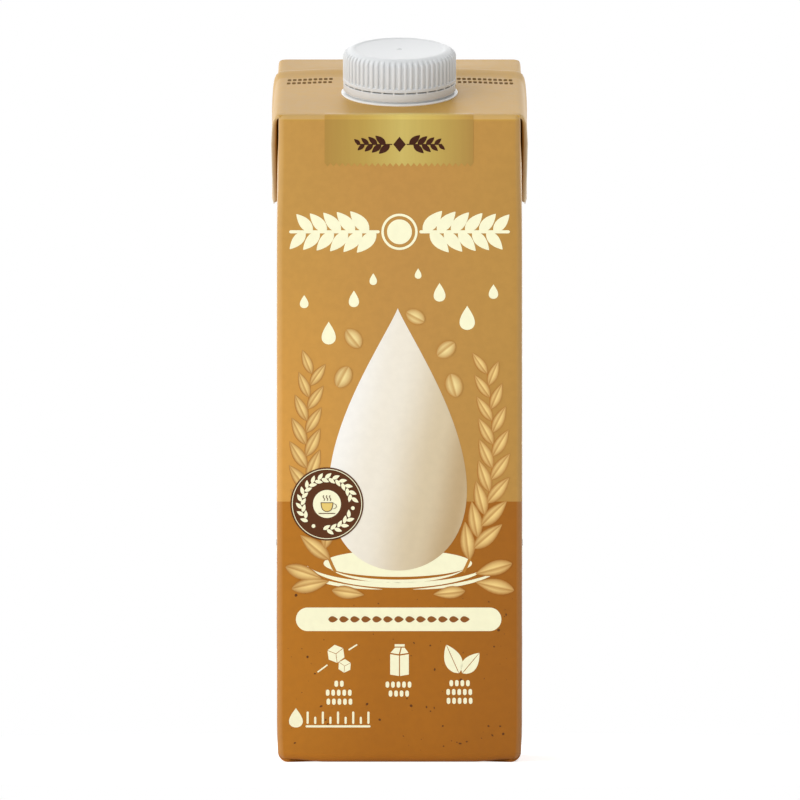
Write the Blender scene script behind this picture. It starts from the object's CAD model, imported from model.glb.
# %% [markdown]
# # A one-litre drink carton, piece by piece
# The real thing is one sheet of printed, varnished board folded into a brick with a sloped
# top, plus a moulded spout and a screw cap.  The solid parts come from the CAD frame, which
# fixes size and place.  Here each of them gets a visual twin: the same shape with the soft
# creases, lifted edges and print that make board look like board.  All lengths below are
# written in millimetres and turned into metres at the last moment, because a carton's
# drawing is in millimetres and small whole numbers are easier to check.

# %% Load the frame
import bmesh
import bpy
import math
import random
from mathutils import Matrix, Vector


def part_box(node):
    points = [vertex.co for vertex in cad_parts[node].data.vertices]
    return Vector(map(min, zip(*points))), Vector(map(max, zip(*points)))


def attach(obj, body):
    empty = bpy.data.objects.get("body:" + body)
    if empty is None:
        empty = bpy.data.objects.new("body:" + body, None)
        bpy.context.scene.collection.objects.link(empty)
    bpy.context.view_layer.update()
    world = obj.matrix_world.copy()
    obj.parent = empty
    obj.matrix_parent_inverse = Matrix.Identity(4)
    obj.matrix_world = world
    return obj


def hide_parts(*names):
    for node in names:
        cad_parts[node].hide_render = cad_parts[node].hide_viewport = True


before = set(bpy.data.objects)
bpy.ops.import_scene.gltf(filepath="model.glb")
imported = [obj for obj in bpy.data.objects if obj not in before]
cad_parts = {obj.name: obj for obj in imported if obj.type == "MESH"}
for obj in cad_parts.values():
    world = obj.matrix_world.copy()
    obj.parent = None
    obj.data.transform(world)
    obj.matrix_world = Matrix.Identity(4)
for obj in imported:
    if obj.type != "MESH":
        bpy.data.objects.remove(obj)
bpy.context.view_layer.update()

MM = 0.001
low, high = (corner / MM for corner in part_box("carton"))
print("carton in the frame, mm:", [round(c, 2) for c in low], [round(c, 2) for c in high])

# %% [markdown]
# ## Camera, light and floor
# A pack shot is taken with a long lens from far away, level with the middle of the pack, so
# that upright edges stay upright.  The camera's distance and lens follow from that: 3.3 m
# in front of the front panel, with 231.65 mm of the object's plane across the picture.
# One broad soft light stands to the front left.  The rest is an even white surrounding, which
# could be a dome of lamps; a world shader does the same for less noise.  It is dimmer in
# front for mirror rays, as a dark room behind the camera is, so that the varnish doesn't
# veil the front panel.

# %% Camera
scene = bpy.context.scene
scene.view_settings.view_transform = "Standard"

FRONT_Y = -37.5
CAMERA_DISTANCE, CAMERA_ASIDE, CAMERA_HEIGHT = 3300.0, 0.145, 104.9
PICTURE_WIDTH, FILM_WIDTH = 231.65, 36.0


def add_object(name, data):
    """Put a mesh, a lamp or a camera into the scene."""
    made = bpy.data.objects.new(name, data)
    scene.collection.objects.link(made)
    return made


lens = bpy.data.cameras.new("pack_shot")
lens.sensor_width = FILM_WIDTH
lens.lens = FILM_WIDTH * CAMERA_DISTANCE / PICTURE_WIDTH
lens.clip_end = 20.0
camera = add_object("camera", lens)
camera.location = Vector((CAMERA_ASIDE, FRONT_Y - CAMERA_DISTANCE, CAMERA_HEIGHT)) * MM
camera.rotation_euler = (math.radians(90), 0, 0)
scene.camera = camera
print("lens, mm:", round(lens.lens, 1))


# %% Node helpers
def feed(tree, socket, value):
    """Another node's output is linked to the socket; a number or a colour is written into it."""
    if isinstance(value, bpy.types.NodeSocket):
        tree.links.new(value, socket)
    else:
        socket.default_value = value


def fill(tree, node, **values):
    """Give a node its values: each goes to the input of that name or else to its own setting."""
    for name, value in values.items():
        label = name.replace("_", " ").title().replace("Ior", "IOR")
        if label in node.inputs:
            feed(tree, node.inputs[label], value)
        elif hasattr(node, name):
            setattr(node, name, value)
        else:
            raise ValueError(f"{node.name} has no {name}")
    return node


def add_node(tree, kind, **values):
    """A new node with its values."""
    return fill(tree, tree.nodes.new(kind), **values)


def calculate(tree, operation, *values):
    """One step of arithmetic; each value is a number or another node's output."""
    node = add_node(tree, "ShaderNodeMath", operation=operation)
    for socket, value in zip(node.inputs, values):
        feed(tree, socket, value)
    return node.outputs[0]


def multiply(tree, *values):
    """The product of two or more values."""
    total = values[0]
    for value in values[1:]:
        total = calculate(tree, "MULTIPLY", total, value)
    return total


def fade(tree, value, start, stop, low=0.0, high=1.0, kind="SMOOTHSTEP"):
    """A soft step: low before start, high after stop."""
    return add_node(tree, "ShaderNodeMapRange", interpolation_type=kind, value=value,
                    from_min=start, from_max=stop, to_min=low, to_max=high).outputs["Result"]


def band(tree, value, limits, low=0.0, high=1.0):
    """The same between two places given in millimetres."""
    start, stop = limits
    return fade(tree, value, start * MM, stop * MM, low, high)


def split(tree, vector):
    """The X, Y and Z outputs of a vector."""
    return add_node(tree, "ShaderNodeSeparateXYZ", vector=vector).outputs


def blend_colours(tree, amount, first, second):
    """Mix two colours, each a tuple or an output."""
    node = add_node(tree, "ShaderNodeMix", data_type="RGBA")
    for number, value in ((0, amount), (6, first), (7, second)):
        feed(tree, node.inputs[number], value)
    return node.outputs[2]


def noise(tree, place, scale, detail=2.0, roughness=0.5):
    """A cloudy grey pattern that sits still on the object."""
    return add_node(tree, "ShaderNodeTexNoise", vector=place, scale=scale, detail=detail,
                    roughness=roughness).outputs[0]


def vary(tree, pattern, low, high):
    """Turn the grey of a pattern into a value that wavers between low and high."""
    return fade(tree, pattern, 0.3, 0.7, low, high)


def gloss(tree, pattern, low, high):
    """The same for roughness, which changes more slowly."""
    return fade(tree, pattern, 0.2, 0.8, low, high)


def srgb(red, green, blue):
    """The linear colour of a swatch given as 0-255 screen values."""
    def linear(value):
        """One channel of it."""
        value /= 255
        return value / 12.92 if value <= 0.04045 else ((value + 0.055) / 1.055) ** 2.4
    return (linear(red), linear(green), linear(blue), 1.0)


# %% World
AMBIENT = 0.66
LEFT_SHARE, RIGHT_SHARE = 1.5, 0.74
LOW_SHARE, HIGH_SHARE = 1.02, 0.72
MIRROR_FRONT, MIRROR_BACK = 0.08, 1.98
MIRROR_TURN = (-0.6, 0.4)
WHITE = (1.0, 1.0, 1.0, 1.0)
world = bpy.data.worlds.new("studio")
scene.world = world
world.use_nodes = True
sky = world.node_tree
ray = add_node(sky, "ShaderNodeLightPath").outputs
x, y, z = split(sky, add_node(sky, "ShaderNodeTexCoord").outputs["Generated"])
mirror = fade(sky, y, *MIRROR_TURN, MIRROR_FRONT, MIRROR_BACK)
soft = multiply(sky, fade(sky, x, -1, 1, LEFT_SHARE * AMBIENT, RIGHT_SHARE * AMBIENT),
                fade(sky, z, 0, 1, LOW_SHARE, HIGH_SHARE))
glossy = ray["Is Glossy Ray"]
not_glossy = calculate(sky, "SUBTRACT", 1.0, glossy)
level = calculate(sky, "ADD", multiply(sky, mirror, glossy), multiply(sky, not_glossy, soft))
fill(sky, sky.nodes["Background"], color=WHITE,
     strength=calculate(sky, "MAXIMUM", level, ray["Is Camera Ray"]))
print("mirror rays see", MIRROR_FRONT, "in front and", MIRROR_BACK, "behind")

# %% Key light
KEY_PLACE, KEY_AIM = Vector((-1.75, -1.75, 1.0)), Vector((0, 0, 0.1))
key = bpy.data.lights.new("key", "AREA")
key.shape = "DISK"
key.size = 2.3
key.energy = 27.0
key_object = add_object("key", key)
key_object.location = KEY_PLACE
key_object.visible_glossy = False
aim = KEY_AIM - KEY_PLACE
key_object.rotation_euler = aim.to_track_quat("-Z", "Y").to_euler()
print("light level from the surroundings:", AMBIENT, "and", key.energy, "W from the key")

# %% [markdown]
# The floor is white paper that runs out into the white surrounding.  Near the pack it is a
# real surface, so that the pack's shadow and its own colour fall on it; further out it is
# plain light, so that no horizon shows.  For other rays than the camera's it is a little
# darker, so that the lower walls aren't lit from below more than paper would do.

# %% Floor
PAPER_GREY, PAPER_SEEN = 0.92, 0.98
GLOW_NEAR, GLOW_SEEN = 0.12, 0.5
PAPER_END, LIGHT_START = 0.06, 0.26
FLOOR_SIZE, FLOOR_ROUGH = 6.0, 0.9
bpy.ops.mesh.primitive_plane_add(size=FLOOR_SIZE)
floor = bpy.context.object
floor.name = "floor"


def floor_material():
    """Paper near the pack, plain light further out."""
    material = bpy.data.materials.new("floor_paper")
    material.use_nodes = True
    tree = material.node_tree
    place = add_node(tree, "ShaderNodeTexCoord").outputs["Object"]
    away = add_node(tree, "ShaderNodeVectorMath", operation="LENGTH", vector=place)
    far = fade(tree, away.outputs["Value"], PAPER_END, LIGHT_START)
    seen = add_node(tree, "ShaderNodeLightPath").outputs["Is Camera Ray"]
    paper = tree.nodes["Principled BSDF"]
    colour = blend_colours(tree, seen, (*[PAPER_GREY] * 3, 1), (*[PAPER_SEEN] * 3, 1))
    glow = calculate(tree, "ADD", multiply(tree, seen, GLOW_SEEN), GLOW_NEAR)
    fill(tree, paper, base_color=colour, roughness=FLOOR_ROUGH, emission_color=WHITE,
         emission_strength=glow)
    light = add_node(tree, "ShaderNodeEmission",
                     strength=calculate(tree, "MAXIMUM", seen, PAPER_GREY))
    mixer = add_node(tree, "ShaderNodeMixShader")
    for socket, value in zip(mixer.inputs, (far, paper.outputs[0], light.outputs[0])):
        feed(tree, socket, value)
    fill(tree, tree.nodes["Material Output"], surface=mixer.outputs[0])
    return material


floor.data.materials.append(floor_material())
print("floor staged")

# %% [markdown]
# ## The carton's form as a few functions
# The board is flat stock, so nearly every surface is a plane with rounded creases.  What
# makes it look full is small: the panels belly out by half a millimetre, and the sloped top
# rises into a low crown under the spout.  These could be sculpted, but a handful of
# functions gives the same form exactly, and everything that lies on the board later, such
# as print, seal and label, can ask the same functions where the surface is.

# %% Sizes of the brick
WIDTH, DEPTH = 71.0, -2 * FRONT_Y
FRONT_HEIGHT, BACK_HEIGHT = 187.4, 206.2
BOARD = 0.4
CORNER, FOLD, HEEL = 1.8, 1.75, 2.5
SLOPE = math.atan((BACK_HEIGHT - FRONT_HEIGHT) / DEPTH)
RUN = math.hypot(DEPTH, BACK_HEIGHT - FRONT_HEIGHT)
SEAM_RUN = (RUN + BACK_HEIGHT - FRONT_HEIGHT) / 2
EAR_DROP = DEPTH / 2
TOP_NORMAL = Vector((0, -math.sin(SLOPE), math.cos(SLOPE)))
FRONT_TURN = math.pi / 2 - SLOPE
FOLD_RUN = FOLD * math.tan(FRONT_TURN / 2)
BACK_FOLD_RUN = FOLD * math.tan((math.pi / 2 + SLOPE) / 2)
print("slope", round(math.degrees(SLOPE), 2), "degrees, run", round(RUN, 2),
      "seam at", round(SEAM_RUN, 2), "mm")


# %% Surface functions
SWELL_FRONT, SWELL_SIDE = 0.0022, 0.0020
SEAT_RUN, SEAT_RISE, SEAT_LEAN = 28.06, 0.35, math.radians(1)
CROWN_SIDE = (19, WIDTH / 2)
CROWN_FRONT, CROWN_DIP, CROWN_BACK = (1.4, 11), (34, 46), (58.5, RUN - 2.6)


def smooth(value, start=0.0, stop=1.0):
    """0 before start, 1 after stop, an even S between."""
    t = min(max((value - start) / (stop - start), 0.0), 1.0)
    return t * t * (3 - 2 * t)


def belly(along, half, z, height):
    """How far a panel swells at a place on it."""
    across = max(1 - (along / (half - CORNER)) ** 2, 0.0)
    up = max(1 - (2 * z / height - 1) ** 4, 0.0)
    return height * across * across * up


def swell(x, y, z, side):
    """Swelling of the panel that faces along the given side."""
    if side in ("front", "back"):
        height = FRONT_HEIGHT if side == "front" else BACK_HEIGHT
        return SWELL_FRONT * belly(x, WIDTH / 2, z, height)
    return SWELL_SIDE * belly(y, DEPTH / 2, z, top_plane(y))


def top_plane(y):
    """Height of the flat sloped top over y."""
    return FRONT_HEIGHT + (y + DEPTH / 2) * math.tan(SLOPE)


def crown(x, v):
    """How far the top rises over its plane; v runs up the slope from the front edge."""
    seat = SEAT_RISE + (v - SEAT_RUN) * math.tan(SEAT_LEAN)
    dip = 1 - 0.3 * smooth(v, *CROWN_DIP)
    across = 1 - smooth(abs(x), *CROWN_SIDE)
    return seat * dip * across * smooth(v, *CROWN_FRONT) * (1 - smooth(v, *CROWN_BACK))


def fold_drop(v):
    """How far the rounded front and back creases fall below the top plane."""
    short = max(FOLD_RUN - v, v - (RUN - BACK_FOLD_RUN))
    return 0.0 if short <= 0 else FOLD - math.sqrt(max(FOLD ** 2 - short ** 2, 0.0))


def on_slope(x, v, w):
    """From the top's own directions (across, up the slope, down into the pack) to the frame."""
    return Vector((x, FRONT_Y + v * math.cos(SLOPE) + w * math.sin(SLOPE),
                   FRONT_HEIGHT + v * math.sin(SLOPE) - w * math.cos(SLOPE)))


# %% [markdown]
# Two small departures from the plain brick give it its weight.  Between its folded ears the
# underside sags almost to the table.  And each hard fold pulls on the walls beside it: they
# are drawn in just over the base, and so are the front corners under the top ears.

# %% Sag and pull of the folds
BASE_LIFT, BASE_SAG = 0.8, 0.68
SAG_START = (1.5, 12)
BASE_PULL, BASE_PULL_END = 0.0095, (1, 10)
EAR_PULL, EAR_PULL_UP, EAR_PULL_BACK = 0.0127, (150, 176), (-30, -5)


def base_height(x, y):
    """Height of the underside; past the slanted edge of an ear it sags to the floor."""
    past_ear = abs(y) - abs(x) * DEPTH / WIDTH
    return BASE_LIFT - BASE_SAG * smooth(past_ear, *SAG_START)


def pinch(p):
    """Draw a point in towards the middle plane as the folds near it do."""
    p.x *= 1 - BASE_PULL * (1 - smooth(p.z, *BASE_PULL_END))
    p.x *= 1 - EAR_PULL * smooth(p.z, *EAR_PULL_UP) * (1 - smooth(p.y, *EAR_PULL_BACK))
    return p


# %% Mesh helpers
BOARD_EDGE, PLASTIC_EDGE, PRINT_EDGE = 40, 35, 30
TOUCHING = 2e-7


def plain_mesh(name, points, faces, marks=None, unit=1.0):
    """A mesh from points and faces; marks are named values that its points carry."""
    mesh = bpy.data.meshes.new(name)
    mesh.from_pydata([tuple(c * unit for c in p) for p in points], [], faces)
    for label, values in (marks or {}).items():
        mesh.attributes.new(label, "FLOAT", "POINT").data.foreach_set("value", values)
    return mesh


def make_piece(name, mesh, material, edge):
    """Merge doubles, turn faces outward, shade smooth up to an edge angle, paint and show."""
    work = bmesh.new()
    work.from_mesh(mesh)
    bmesh.ops.remove_doubles(work, verts=work.verts, dist=TOUCHING)
    bmesh.ops.dissolve_degenerate(work, edges=work.edges, dist=TOUCHING)
    bmesh.ops.recalc_face_normals(work, faces=work.faces)
    work.to_mesh(mesh)
    work.free()
    mesh.shade_smooth()
    mesh.set_sharp_from_angle(angle=math.radians(edge))
    mesh.materials.clear()
    mesh.materials.append(material)
    return add_object(name, mesh)


def strip_faces(rows, columns, closed=False, start=0):
    """Quads between the points of a grid that are stored row by row; closed rows are rings."""
    faces = []
    for row in range(rows - 1):
        for column in range(columns if closed else columns - 1):
            here, beside = start + row * columns, (column + 1) % columns
            faces.append((here + column, here + beside, here + columns + beside,
                          here + columns + column))
    return faces


def sheet_between(outer, inner):
    """A closed sheet between two grids of the same shape: points and faces."""
    rows, columns = len(outer), len(outer[0])
    points = [p for row in outer for p in row] + [p for row in inner for p in row]
    shift = rows * columns
    faces = strip_faces(rows, columns)
    faces += [tuple(reversed(f)) for f in strip_faces(rows, columns, start=shift)]
    rim = ([(0, c) for c in range(columns)] + [(r, columns - 1) for r in range(1, rows)]
           + [(rows - 1, c) for c in range(columns - 2, -1, -1)]
           + [(r, 0) for r in range(rows - 2, 0, -1)])
    for a, b in zip(rim, rim[1:] + rim[:1]):
        first, second = a[0] * columns + a[1], b[0] * columns + b[1]
        faces.append((second, first, shift + first, shift + second))
    return points, faces


def mirrored(grids, side):
    """The same skins on the right (1) or, turned over, on the left (-1)."""
    return [[[Vector((side * p.x, p.y, p.z)) for p in row] for row in grid] for grid in grids]


# %% [markdown]
# ## The brick
# The filled carton is drawn as rings stacked from the middle of the base, out and up the
# walls, over the top crease and in to the middle of the top.  A cube with bevels would give
# the creases too, but not a different height at each point of the upper crease.  A ring
# keeps the same number of points all the way, so the surface has no breaks to shade badly.

# %% Outline of the brick
SIDE_STEPS, CORNER_STEPS = 26, 7


def rounded_ring(inset, radius):
    """Points round a rounded rectangle with their outward directions, anticlockwise."""
    half_x, half_y = WIDTH / 2 - inset - radius, DEPTH / 2 - inset - radius
    centres = [Vector((x * half_x, y * half_y, 0)) for x, y in ((1, -1), (1, 1), (-1, 1), (-1, -1))]
    ring = []
    for number, centre in enumerate(centres):
        for step in range(CORNER_STEPS + 1):
            angle = math.radians(90 * (number - 1 + step / CORNER_STEPS))
            out = Vector((math.cos(angle), math.sin(angle), 0))
            ring.append((centre + out * radius, out))
        start = ring[-1][0]
        stop = centres[(number + 1) % 4] + out * radius
        ring += [(start.lerp(stop, step / SIDE_STEPS), out) for step in range(1, SIDE_STEPS)]
    return ring


def side_of(out):
    """Name of the panel that faces this way."""
    if abs(out.x) > 0.7:
        return "right" if out.x > 0 else "left"
    return "front" if out.y < 0 else "back"


# %% Rings of the brick
CORNER_WEAR, FOLD_WEAR = 0.13, 0.24
HEEL_STEPS, WALL_STEPS, FOLD_STEPS = 7, 44, 7
BASE_SHARES, BASE_REACH = (0.15, 0.5, 0.8), 33.0
TOP_SHARES = (0.03, 0.07, 0.12, 0.18, 0.25, 0.33, 0.41, 0.5, 0.6, 0.72, 0.85, 0.95)
TOP_MIDDLE = on_slope(0, 30, 0)


def base_rings():
    """From the middle of the base out to the heel.

    Like the next ones it yields each ring with its wear; None stands for worn at the corners."""
    for share in BASE_SHARES:
        ring = rounded_ring(HEEL + (1 - share) * BASE_REACH, 0.3)
        yield [pinch(Vector((p.x, p.y, base_height(p.x, p.y)))) for p, _ in ring], 0.0


def heel_rings():
    """Round the lower crease."""
    for step in range(HEEL_STEPS + 1):
        angle = math.pi / 2 * step / HEEL_STEPS
        inset, rise = HEEL * (1 - math.sin(angle)), HEEL * (1 - math.cos(angle))
        ring = rounded_ring(inset, max(CORNER - 0.7 * inset, 0.25))
        yield [pinch(Vector((p.x, p.y, rise + base_height(p.x, p.y)))) for p, _ in ring], None


def wall_rings(wall):
    """Up the walls to where the top crease starts, which is higher at the back."""
    for step in range(1, WALL_STEPS + 1):
        ring = []
        for p, out in wall:
            stop = top_plane(p.y - out.y * FOLD) - FOLD / math.cos(SLOPE)
            heel = base_height(p.x, p.y) + HEEL
            z = heel + (stop - heel) * step / WALL_STEPS
            ring.append(pinch(Vector((p.x, p.y, z)) + out * swell(p.x, p.y, z, side_of(out))))
        yield ring, None


def fold_rings(wall):
    """Round the top crease; the ink is rubbed where it starts."""
    for step in range(1, FOLD_STEPS + 1):
        ring = []
        for p, out in wall:
            centre = p - out * FOLD
            centre.z = top_plane(centre.y) - FOLD / math.cos(SLOPE)
            ring.append(pinch(centre + out.slerp(TOP_NORMAL, step / FOLD_STEPS) * FOLD))
        yield ring, FOLD_WEAR * (1 - smooth(step, 4, 8))


def top_rings(rim):
    """From the top crease in to the middle, over the crown."""
    for share in TOP_SHARES:
        inner = [p.lerp(TOP_MIDDLE, share) for p in rim]
        yield [q + TOP_NORMAL * crown(q.x, (q.y - FRONT_Y) / math.cos(SLOPE)) for q in inner], 0.0


def build_brick():
    """Points and faces of the whole brick, and how worn each point is."""
    wall = rounded_ring(0, CORNER)
    at_corners = [CORNER_WEAR * abs(2 * out.x * out.y) for _, out in wall]
    made = [*base_rings(), *heel_rings(), *wall_rings(wall), *fold_rings(wall)]
    made += top_rings(made[-1][0])
    columns = len(wall)
    points = [p for ring, _ in made for p in ring]
    faces = strip_faces(len(made), columns, closed=True)
    wear = []
    for _, worn in made:
        wear += at_corners if worn is None else [worn] * columns
    for row in (0, len(made) - 1):
        points.append(sum(made[row][0], Vector()) / columns)
        wear.append(0.0)
        for column in range(columns):
            pair = [row * columns + column, row * columns + (column + 1) % columns]
            faces.append((*(reversed(pair) if row == 0 else pair), len(points) - 1))
    print("brick:", len(made), "rings of", columns, "points")
    return points, faces, wear


brick_points, brick_faces, brick_wear = build_brick()

# %% [markdown]
# ## Board
# Printed carton board is a smooth white fibre sheet under ink and a satin varnish.  The
# print has two fields, a light one above and a darker one below, and both get a little
# deeper from left to right.  The fields follow the object's own coordinates, so they run
# on across creases just as they do on the flat sheet.  Where the sheet is folded hard or cut,
# the ink is rubbed thin and the paper shows: that is painted by the "edge" value that each
# piece carries.  A faint mottle keeps the ink from being one flat colour.

# %% Board colours
SHEEN = 0.25
MOTTLE_SCALE, CLOUD_SCALE = 420.0, 38.0
FIELD_BREAK, BREAK_BLUR = 75.5, 0.12
UPPER = (srgb(197, 149, 73), srgb(194, 144, 72), srgb(190, 143, 69))
UPPER_GLOW = srgb(216, 156, 70)
LOWER = (srgb(185, 117, 27), srgb(174, 107, 21), srgb(165, 100, 20))
TOP_TONE = (srgb(195, 151, 68), srgb(197, 153, 68), srgb(199, 155, 69))
PAPER = srgb(214, 195, 160)
GLOW_ACROSS, GLOW_UP = (8, -36), (172, 85)
TOP_BAND, EAR_BAND, EAR_ASIDE = (-2.2, -0.8), (-22, -4), (35.2, 35.8)
FOLD_GLOW = 0.1
FOLD_FOOT, FOLD_HEAD, FOLD_ENDS = (-1.5, -1.25), (-0.1, -0.35), (35.0, 33.0)


def three_way(tree, x, colours):
    """A colour that runs from left over the middle to the right of the pack."""
    left, middle, right = colours
    first = blend_colours(tree, band(tree, x, (-34, 0)), left, middle)
    return blend_colours(tree, band(tree, x, (0, 34)), first, right)


def over_top_plane(tree, y, z):
    """How far a place lies over the plane of the sloped top, in metres."""
    slope = multiply(tree, y, math.tan(SLOPE))
    return calculate(tree, "SUBTRACT", calculate(tree, "SUBTRACT", z, slope), top_plane(0) * MM)


# %% Material helpers
def start_material(name):
    """A new material, its tree, its shader and the place on the object."""
    material = bpy.data.materials.new(name)
    material.use_nodes = True
    tree = material.node_tree
    place = add_node(tree, "ShaderNodeTexCoord").outputs["Object"]
    return material, tree, tree.nodes["Principled BSDF"], place


def roughen(tree, shader, pattern, strength, depth):
    """Raise the surface a very little where a pattern is light."""
    bump = add_node(tree, "ShaderNodeBump", strength=strength, distance=depth * MM,
                    height=pattern)
    fill(tree, shader, normal=bump.outputs[0])


# %% Board material
def board_ink(tree, place):
    """The printed colours, and how much brighter the front fold is.

    There are two fields, a warmer left side, and a tone of their own for top and ears."""
    x, y, z = split(tree, place)
    field = band(tree, z, (FIELD_BREAK - BREAK_BLUR, FIELD_BREAK + BREAK_BLUR))
    glow = multiply(tree, band(tree, x, GLOW_ACROSS), band(tree, z, GLOW_UP))
    light = blend_colours(tree, glow, three_way(tree, x, UPPER), UPPER_GLOW)
    ink = blend_colours(tree, field, three_way(tree, x, LOWER), light)
    over = over_top_plane(tree, y, z)
    aside = calculate(tree, "ABSOLUTE", x)
    on_ear = multiply(tree, band(tree, over, EAR_BAND), band(tree, aside, EAR_ASIDE))
    on_top = calculate(tree, "MAXIMUM", band(tree, over, TOP_BAND), on_ear)
    fold = multiply(tree, band(tree, over, FOLD_FOOT),
                    band(tree, over, FOLD_HEAD, 0.0, FOLD_GLOW), band(tree, aside, FOLD_ENDS))
    return blend_colours(tree, on_top, ink, three_way(tree, x, TOP_TONE)), fold


def board_material(name):
    """Ink with a faint mottle under satin varnish, rubbed to the paper where it is worn."""
    material, tree, shader, place = start_material(name)
    ink, fold = board_ink(tree, place)
    mottle = noise(tree, place, MOTTLE_SCALE, 3.0, 0.6)
    cloud = noise(tree, place, CLOUD_SCALE)
    shade = calculate(tree, "ADD", vary(tree, mottle, 0.975, 1.025),
                      vary(tree, cloud, -0.015, 0.015))
    tone = add_node(tree, "ShaderNodeHueSaturation", color=ink,
                    value=calculate(tree, "ADD", shade, fold))
    worn = add_node(tree, "ShaderNodeAttribute", attribute_name="edge").outputs["Fac"]
    colour = blend_colours(tree, worn, tone.outputs[0], PAPER)
    fill(tree, shader, base_color=colour, specular_ior_level=SHEEN,
         roughness=gloss(tree, mottle, 0.42, 0.5))
    roughen(tree, shader, mottle, 0.12, 0.05)
    return material


board = board_material("carton_board")


def board_piece(name, points, faces, wear=None):
    """One closed piece of board in metres, rubbed to the paper where it is worn."""
    mesh = plain_mesh(name, points, faces, wear and {"edge": wear}, MM)
    return make_piece(name, mesh, board, BOARD_EDGE)


brick = board_piece("carton_brick", brick_points, brick_faces, brick_wear)
print("brick faces:", len(brick.data.polygons))

# %% [markdown]
# ## Top ears
# Where the square tube is squeezed into the top seam, its two sides stick out as triangular
# ears.  Each is two layers of board, bent down over the side edge of the top and glued to
# the side wall under the seam.  The front part isn't glued and stands off the wall, which
# is the shadow line one sees from the front.  Each ear here is one closed sheet between an
# outer and an inner skin, drawn section by section up the slope, so that its crease comes
# round the front corner in an arc as the real fold does.

# %% Section of an ear
BEND_START, BEND_DEPTH, BEND_SHARE = 33.0, 1.5, 5.7
SKIN_LIFT = 0.02
EAR_STAND, EAR_GLUED = 1.85, 1.25
FLAT_STEP, BEND_STEPS, FALL_STEPS = 0.8, 24, 40


def ear_stand(v):
    """How far the ear's outer face is from the side wall."""
    return EAR_STAND - 0.22 * smooth(v, 30, 50) - EAR_GLUED * smooth(v, 50, 70)


def ear_depth(v):
    """How far the ear reaches down at this run."""
    if v <= SEAM_RUN:
        return EAR_DROP * v / SEAM_RUN
    return EAR_DROP * max(RUN - v, 0) / (RUN - SEAM_RUN)


def skin_line(v, start=BEND_START):
    """The outer surface from the top panel over the bend and down, as (x, depth) points.

    The bend is a curve that leaves the top level and enters the ear upright."""
    drop = fold_drop(v) - SKIN_LIFT
    edge, stand = WIDTH / 2, ear_stand(v)
    depth = BEND_DEPTH + BEND_SHARE * stand
    steps = int((BEND_START - start) / FLAT_STEP)
    across = [start + (BEND_START - start) * n / steps for n in range(steps)]
    line = [(x, drop - crown(x, v)) for x in across]
    ends = [(BEND_START, drop - crown(BEND_START, v)), (edge + 0.49 * stand, drop),
            (edge + 0.7 * stand, fold_drop(v) + 0.22 * stand), (edge + stand, fold_drop(v) + depth)]
    for step in range(BEND_STEPS + 1):
        t = step / BEND_STEPS
        weights = ((1 - t) ** 3, 3 * t * (1 - t) ** 2, 3 * t * t * (1 - t), t ** 3)
        line.append(tuple(sum(w * e[axis] for w, e in zip(weights, ends)) for axis in (0, 1)))
    line += [(edge + stand, fold_drop(v) + depth + (EAR_DROP - depth) * n / FALL_STEPS)
             for n in range(1, FALL_STEPS + 1)]
    return line


def cut_line(line, bottom):
    """The part of a skin line that is above a depth."""
    kept = [line[0]]
    for a, b in zip(line, line[1:]):
        if b[1] >= bottom:
            share = (bottom - a[1]) / (b[1] - a[1])
            kept.append((a[0] + (b[0] - a[0]) * share, bottom))
            return kept
        kept.append(b)
    return kept


def line_length(line):
    """Its length from end to end."""
    return sum(math.dist(a, b) for a, b in zip(line, line[1:]))


def sample_line(line, lengths):
    """Points and outward directions at the given lengths along a line."""
    sums = [0.0]
    for a, b in zip(line, line[1:]):
        sums.append(sums[-1] + math.dist(a, b))
    found = []
    for length in lengths:
        length = min(max(length, 0), sums[-1])
        part = next(n for n in range(1, len(sums)) if sums[n] >= length - 1e-9)
        a, b = line[part - 1], line[part]
        share = (length - sums[part - 1]) / (sums[part] - sums[part - 1])
        point = (a[0] + (b[0] - a[0]) * share, a[1] + (b[1] - a[1]) * share)
        size = math.dist(a, b)
        found.append((point, ((b[1] - a[1]) / size, -(b[0] - a[0]) / size)))
    return found


# %% Build both ears
EAR_ROWS, EAR_BEND, EAR_FLAT, EAR_ROUND = 64, 24, 14, 5
EAR_BOARD = 2 * BOARD
EAR_START, EAR_STOP = 0.6, RUN - 1.2
RIM_LENGTH, BEND_LENGTH, LEAST_DEPTH = 0.4, 9.0, 0.3
RIM_WEAR, RIM_WEAR_GROWTH = 0.3, 0.55
GLUE_DEPTH = 0.15
EDGE_SLANT = math.cos(math.atan(EAR_DROP / SEAM_RUN))


def ear_lengths(total):
    """Where an ear's section has its points: the bend, the flat, then the rounded cut edge.

    Each length comes with how much of the board's thickness is left there."""
    body = max(total - RIM_LENGTH, total * 0.5)
    bend = min(BEND_LENGTH, 0.6 * body)
    turns = [math.sin(math.pi / 2 * n / EAR_ROUND) for n in range(EAR_ROUND + 1)]
    found = [(bend * n / EAR_BEND, 1.0) for n in range(EAR_BEND)]
    found += [(body - (body - bend) * (1 - n / EAR_FLAT) ** 2.2, 1.0) for n in range(EAR_FLAT)]
    return found + [(body + (total - body) * t, math.sqrt(max(1 - t * t, 0))) for t in turns]


def ear_back(point, out, bottom):
    """The inner skin behind a point, which leans back to the wall above the cut edge."""
    x, depth = point[0] - out[0] * EAR_BOARD, point[1] - out[1] * EAR_BOARD
    wall = WIDTH / 2 - GLUE_DEPTH
    if x > wall:
        away = max((bottom - point[1]) * EDGE_SLANT, 0)
        x = wall + (x - wall) * (math.exp(-away / 0.5) + math.exp(-away / 2.6)) / 2
    return x, depth


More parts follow.
